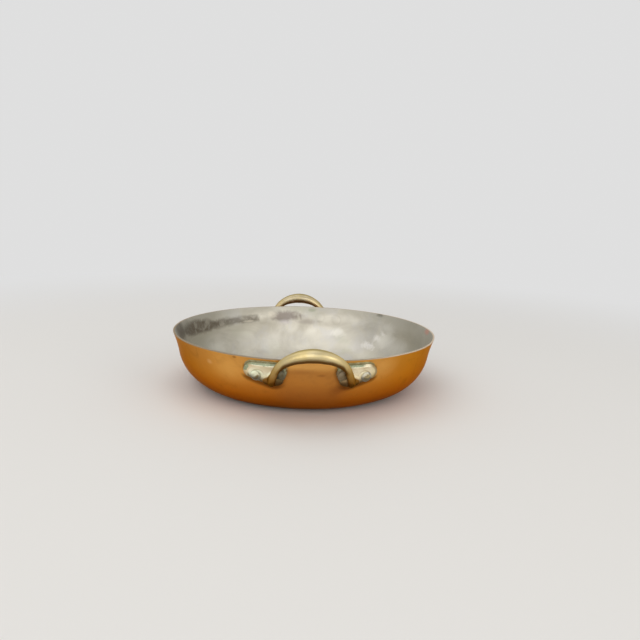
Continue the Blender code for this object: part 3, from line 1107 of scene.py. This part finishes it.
rivetMasks = {
    "rightSide": {"x": (0.0, 0.01)},
    "crusted": {"age": (0.38, 0.52, 0.45, 0.95)},
    "lit": {"towards": (0.05, 0.45)},
    "outward": {"edge": (0.55, 0.8)},
    "salts": {"towards": (0.55, 0.9), "age": (0.36, 0.5)},
    "pits": {"pitted": (0.56, 0.64), "towards": (0.8, 0.35)},
    "ring": {"edge": (0.9, 1.08), "x": (0.0, 0.01, 1.0, 0.35)},
    "below": {"facing": (0.15, -0.45)},
    "shaded": {"aside": (0.034, 0.03)},
}

brassLook = {
    "bright": (0.61, 0.525, 0.325),
    "gold": (0.57, 0.46, 0.225),
    "brown": (0.085, 0.042, 0.014),
    "top": (0.38, 0.305, 0.13),
    "legs": (0.4, 0.225, 0.05),
    "elbow": (0.222, 0.088, 0.011),
    "under": (0.1, 0.036, 0.004),
    "olive": (0.2, 0.13, 0.045),
    "tan": (0.66, 0.5, 0.28),
    "mint": rivetLook["mint"],
    "creamLeft": (0.82, 0.82, 0.62),
    "creamRight": (0.96, 0.86, 0.6),
    "creamTop": (0.98, 0.95, 0.76),
    "rightArm": (0.82, 0.66, 0.34),
    "arms": (0.62, 0.47, 0.2),
    "backOne": (0.74, 0.75, 0.84),
    "rightEnd": (0.62, 0.5, 0.25),
    "lobe": (0.088, 0.07, 0.034),
    "lobeRight": (0.18, 0.13, 0.068),
    "edgeTint": (0.84, 0.67, 0.32),
    "deepShade": (0.02, 0.014, 0.008),
    "roughness": (0.33, 0.45),
    "metallic": 0.95,
    "bump": (0.22, 0.0003),
}

brassGrain = {"broad": (60.0, 4.0, 0.55, 0.4), "fine": (480.0, 5.0, 0.65)}

brassMasks = {
    "onLeg": {"aside": (0.0235, 0.029, 0.0, 0.32), "z": (0.0365, 0.041)},
    "onFoot": {"standOff": (0.0066, 0.005), "facing": (-0.55, -0.15)},
    "rightOne": {"sided": (0.01, -0.01)},
    "lobe": {"innerLobe": None, "nearWall": (0.008, 0.0056), "z": (0.052, 0.048)},
    "below": {"facing": (-0.35, -0.75), "standOff": (0.006, 0.0048)},
    "gap": {"standOff": (0.0012, 0.0002, 0.0, 0.8)},
    # Verdigris
    "clean": {"unevenX": (0.042, 0.054)},
    "ledge": {"saltedZ": (0.0492, 0.051)},
    "upper": {"facing": (0.1, 0.55), "standOff": (0.0062, 0.0048)},
    "outerEnd": {"x": (-0.048, -0.054), "z": (0.041, 0.0455)},
    "towardsEdge": {"footDistance": (-0.0042, -0.0016)},
    "outline": {"footDistance": (-0.0026, -0.0008)},
    "aroundRivet": {"rivetDistance": (0.0064, 0.0046), "x": (0.0, -0.01, 0.12, 0.36)},
    "onFace": {"standOff": (0.0068, 0.005)},
}

# The right arm is painted lighter, a painted light; the arms are more golden
armCoats = (
    ("rightArm", 0.75, {"x": (0.002, 0.02)}),
    ("arms", 0.75, {"aside": (0.014, 0.029)}),
)
# The back handle is a darker copy of the same brass: painted shade
backTint = (("backOne", 1.0, {"y": (0.0, 0.01), "z": (0.048, 0.054)}),)
# Orange-brown low on the legs, partly patina and partly a painted reflection of the copper; then painted
# shade on faces that look up, low down and underneath
legCoats = (
    ("legs", 1.0, {"unevenZ": (0.06, 0.05), "x": (-0.024, -0.012, 0.72, 0.95)}),
    ("top", 0.75, {"facing": (0.7, 0.97)}),
    ("elbow", 0.9, {"z": (0.0475, 0.038)}),
    ("under", 0.92, {"underside": (-0.02, -0.54)}),
)
# Orange-brown near the legs, painted shade low down, along the lower edge and round the outer ends, then pale
# salts round the left rivet and a tan end beside them
footCoats = (
    ("legs", 0.85, {"onFoot": None, "aside": (0.044, 0.0345), "z": (0.0425, 0.0375)}),
    ("olive", 0.85, {"onFoot": None, "footDistance": (-0.006, -0.0016), "z": (0.045, 0.04)}),
    ("brown", 0.8, {"onFoot": None, "footDistance": (-0.0032, -0.001), "z": (0.0435, 0.04)}),
    ("brown", 0.85, {"z": (0.0395, 0.033), "standOff": (0.013, 0.009)}),
    ("rightEnd", 0.7, {"onFoot": None, "x": (0.0475, 0.0525)}),
    ("olive", 0.8, {"onFoot": None, "footDistance": (-0.0017, -0.0004), "aside": (0.047, 0.052)}),
    ("mint", 1.0, {
        "onFoot": None, "rivetDistance": (0.0078, 0.0056), "footDistance": (-0.001, -0.003),
        "x": (-0.04, -0.043), "z": (0.0375, 0.0405), "broad": (0.34, 0.52, 0.1, 0.65),
    }),
    ("tan", 1.0, {
        "onFoot": None, "rivetDistance": (0.0084, 0.0094), "x": (-0.048, -0.052),
        "broad": (0.36, 0.56, 0.3, 0.8),
    }),
)
# Painted shade low in the inner lobes
lobeShadeLow = (("brown", 0.85, {"innerLobe": None, "z": (0.04, 0.035)}),)

# A small pale spot under the back handle's bar
brassSpots = (
    ((-8.5, 140, 59.2), (3.8, 4, 3), 0.8, 0.7, 0.8, (0.86, 0.76, 0.66)),
)


# Painted shade for the inner lobes, which lie in the legs' shadow
def lobeShade(x):
    return blend(x.easeIn(0.0, 0.01), brassLook["lobe"], brassLook["lobeRight"])


def greenNearness(here):  # on upper edges, on the ledge, round the outline and round the rivets
    upper = here.upper * (0.8 - here.clean * 0.5)
    ledge = here.ledge * (0.6 - here.clean * 0.45)
    upper = largest(upper, ledge, here.outerEnd * 0.75) * here.towardsEdge
    return largest(here.outline * (0.42 - here.clean * 0.3), here.aroundRivet, upper) * here.onFace


def castBrass(groups):
    material, place = startMaterial("castBrass")
    here = takeMeasures(place, brassGrain, "standOff", "footDistance", "rivetDistance", "innerLobe")
    age = mean(here.broad, here.fine)
    here.facing = partsOf(fromNode(place.tree, "NewGeometry", "Normal"))[2]
    here.unevenX = here.x + here.broad * 0.012
    here.unevenZ = here.z + here.broad * 0.008
    here.saltedZ = here.z + (age - 0.5) * 0.012
    here.sided = here.x * here.y.calc("SIGN")
    here.nearWall = here.standOff - here.z.easeIn(0.046, 0.04, 0.0, 0.003)
    addMasks(here, brassMasks)
    here.underside = here.facing + here.onLeg
    colour = blend(here.broad.easeIn(0.38, 0.66), brassLook["bright"], brassLook["gold"])
    colour = addCoats(colour, brassLook, armCoats, here)
    colour = addCoats(colour, brassLook, backTint, here, "MULTIPLY")
    colour = addSpots(colour, brassSpots, place, age)
    colour = addCoats(colour, brassLook, legCoats, here)
    # Feet: pale oxide on the face, painted lighter on its upper half, painted shade below and in the inner
    # lobes, green on the upper edge
    cream = blend(here.rightOne, brassLook["creamLeft"], brassLook["creamRight"])
    cream = blend(here.z.easeIn(0.04, 0.046) * 0.8, cream, brassLook["creamTop"])
    oxide = here.onFoot * age.easeIn(0.34, 0.48, 0.7, 0.97)
    colour = addCoats(blend(oxide, colour, cream), brassLook, footCoats, here)
    # Painted shade in the inner lobes
    colour = blend(here.lobe * 0.92, colour, lobeShade(here.x))
    colour = addCoats(colour, brassLook, lobeShadeLow, here)
    inputs = {"Vector": place, "Nearness": greenNearness(here), "Raggedness": 0.55}
    green = useGroup(groups["verdigris"], inputs)
    colour = blend(green["Mask"] * 0.85, colour, green["Colour"])
    # Painted shade in the crevice along the copper and on faces of the feet that look down
    colour = blend(largest(here.gap, here.below * 0.75) * 0.85, colour, brassLook["deepShade"])
    dull = largest(oxide, green["Mask"])
    rough = (age.easeIn(0.36, 0.64, *brassLook["roughness"]) + dull * 0.25).clamped()
    metal = brassLook["metallic"] - dull * 0.85
    height = here.broad * 0.5 + here.fine * 0.06 + green["Height"] * 0.8
    return finishMaterial(material, brassLook, colour, rough, metal, height)


def rivetMetal(groups):
    material, place = startMaterial("rivetMetal")
    here = takeMeasures(place, rivetGrain, "edge")
    normal = fromNode(place.tree, "NewGeometry", "Normal")
    here.facing = partsOf(normal)[2]
    here.towards = vectorCalc("DOT_PRODUCT", normal, rivetLook["light"], "Value")
    here.age = mean(here.broad, here.fine)
    addMasks(here, rivetMasks)
    # Pale crust and mint salts on the side facing the lamps: partly real, partly a painted highlight
    crustAndHighlight = here.crusted * largest(here.lit, here.outward)
    bare = blend(here.rightSide, rivetLook["metal"], rivetLook["golden"])
    colour = blend(crustAndHighlight, bare, blend(here.rightSide, rivetLook["crustAndHighlight"], rivetLook["paleCrust"]))
    colour = blend(here.salts * 0.85, colour, rivetLook["mint"])
    # Real pits, and painted shade on the head's underside and in the ring round its edge
    dirtAndShade = largest(here.below, here.ring, here.pits * 0.75)
    colour = blend(dirtAndShade * 0.8, colour, rivetLook["dirtAndShade"])
    colour = blend(here.shaded * 0.9, colour, lobeShade(here.x))
    # The inner heads are tinned over
    tin = useGroup(groups["tin"], {"Vector": place})
    seat = wallAt(rivetRows["inner"][1])[0].x
    inside = radiusOf(here.x, here.y).easeIn(seat - 0.0005, seat - 0.0012)
    colour = blend(inside, colour, tin["Colour"])
    dull = largest(here.salts, crustAndHighlight, dirtAndShade)
    rough = fromNode(place.tree, "Mix", 0, {0: inside, 2: dull * 0.25 + 0.34, 3: tin["Roughness"]})
    metal = fromNode(place.tree, "Mix", 0, {0: inside, 2: 0.9 - dull * 0.78, 3: tinLook["metallic"]})
    height = here.broad * 0.8 + here.fine * 0.2
    return finishMaterial(material, rivetLook, colour, rough, metal, height)


stage = {
    "floorColour": (0.8, 0.795, 0.785),
    "floorSize": 12.0,
    "backdrop": (0.74, 0.74, 0.74),
    "skyColour": (1.0, 0.985, 0.96),
    "skyLight": 0.58,
    "near": 0.32,
    "far": 0.95,
}


def seenRays(tree):  # 1 for rays that show the backdrop: in view, in a gloss or through glass
    path = addNode(tree, "LightPath").outputs
    return largest(*[Value(path[f"Is {kind} Ray"]) for kind in ("Camera", "Glossy", "Transmission")])


def makeStage():
    onlySelect()
    bpy.ops.mesh.primitive_plane_add(size=stage["floorSize"], location=(0, 0, -0.0001))
    floor = bpy.context.object
    floor.name = "floor"
    applyPlace()
    material, place = startMaterial("paleFloor")
    tree = material.node_tree
    shader = tree.nodes["Principled BSDF"]
    fillInputs(shader, {"Base Color": stage["floorColour"], "Roughness": 0.7, "Specular IOR Level": 0.2})
    glow = fromNode(tree, "Emission", 0, {"Color": stage["backdrop"], "Strength": 1.0})
    far = vectorCalc("LENGTH", place, output="Value").easeIn(stage["near"], stage["far"])
    inputs = {"Fac": far * seenRays(tree), 1: Value(shader.outputs[0]), 2: glow}
    mixed = addNode(tree, "MixShader", inputs)
    tree.links.new(mixed.outputs[0], tree.nodes["Material Output"].inputs["Surface"])
    floor.data.materials.append(material)


def makeSky():
    world = bpy.data.worlds.new("studio")
    bpy.context.scene.world = world
    world.use_nodes = True
    tree = world.node_tree
    tree.nodes.clear()
    light = fromNode(tree, "Background", 0, {"Color": stage["skyColour"], "Strength": stage["skyLight"]})
    shown = fromNode(tree, "Background", 0, {"Color": stage["backdrop"], "Strength": 1.0})
    mixed = addNode(tree, "MixShader", {"Fac": seenRays(tree), 1: light, 2: shown})
    out = tree.nodes.new("ShaderNodeOutputWorld")
    tree.links.new(mixed.outputs[0], out.inputs["Surface"])


# Place, aim, width, power and tint of each round lamp
lamps = {
    "overhead": ((-0.45, 0.03, 1.8), (0, 0, 0), 2.2, 8.8, (1.0, 0.98, 0.94)),
    "front": ((-0.75, -2.3, 0.8), (0, 0, 0.03), 2.9, 30.0, (1.0, 0.98, 0.95)),
    "right": ((1.45, -1.53, 0.7), (0, 0, 0.03), 1.2, 6.0, (1.0, 0.96, 0.88)),
}


def makeLamps():
    for name, (place, aim, width, power, tint) in lamps.items():
        data = bpy.data.lights.new(name, "AREA")
        data.shape = "DISK"
        data.size = width
        data.energy = power
        data.color = tint
        thing = bpy.data.objects.new(name, data)
        bpy.context.scene.collection.objects.link(thing)
        thing.location = place
        thing.rotation_euler = (Vector(aim) - Vector(place)).to_track_quat("-Z", "Y").to_euler()


def makeCamera():
    data = bpy.data.cameras.new("camera")
    data.lens = viewpoint["lens"]
    data.sensor_width = viewpoint["sensor"]
    data.clip_start = 0.01
    camera = bpy.data.objects.new("camera", data)
    bpy.context.scene.collection.objects.link(camera)
    place = Matrix.Translation(viewpoint["place"])
    turns = (("Z", viewpoint["heading"]), ("X", 90 - viewpoint["lookDown"]), ("Z", viewpoint["roll"]))
    for axis, angle in turns:
        place = place @ Matrix.Rotation(math.radians(angle), 4, axis)
    camera.matrix_world = place
    bpy.context.scene.camera = camera


makeCamera()
makeStage()
makeSky()
makeLamps()
bpy.context.scene.view_settings.view_transform = "Standard"
print("camera, floor and lamps are set")

groups = {"verdigris": makeVerdigrisGroup(), "scratches": makeScratchGroup(), "tin": makeTinGroup()}
makeCopperBowl(agedCopper(groups))
makeTinLining(wipedTin(groups))
makeHandles(castBrass(groups))
makeRivets(rivetMetal(groups))
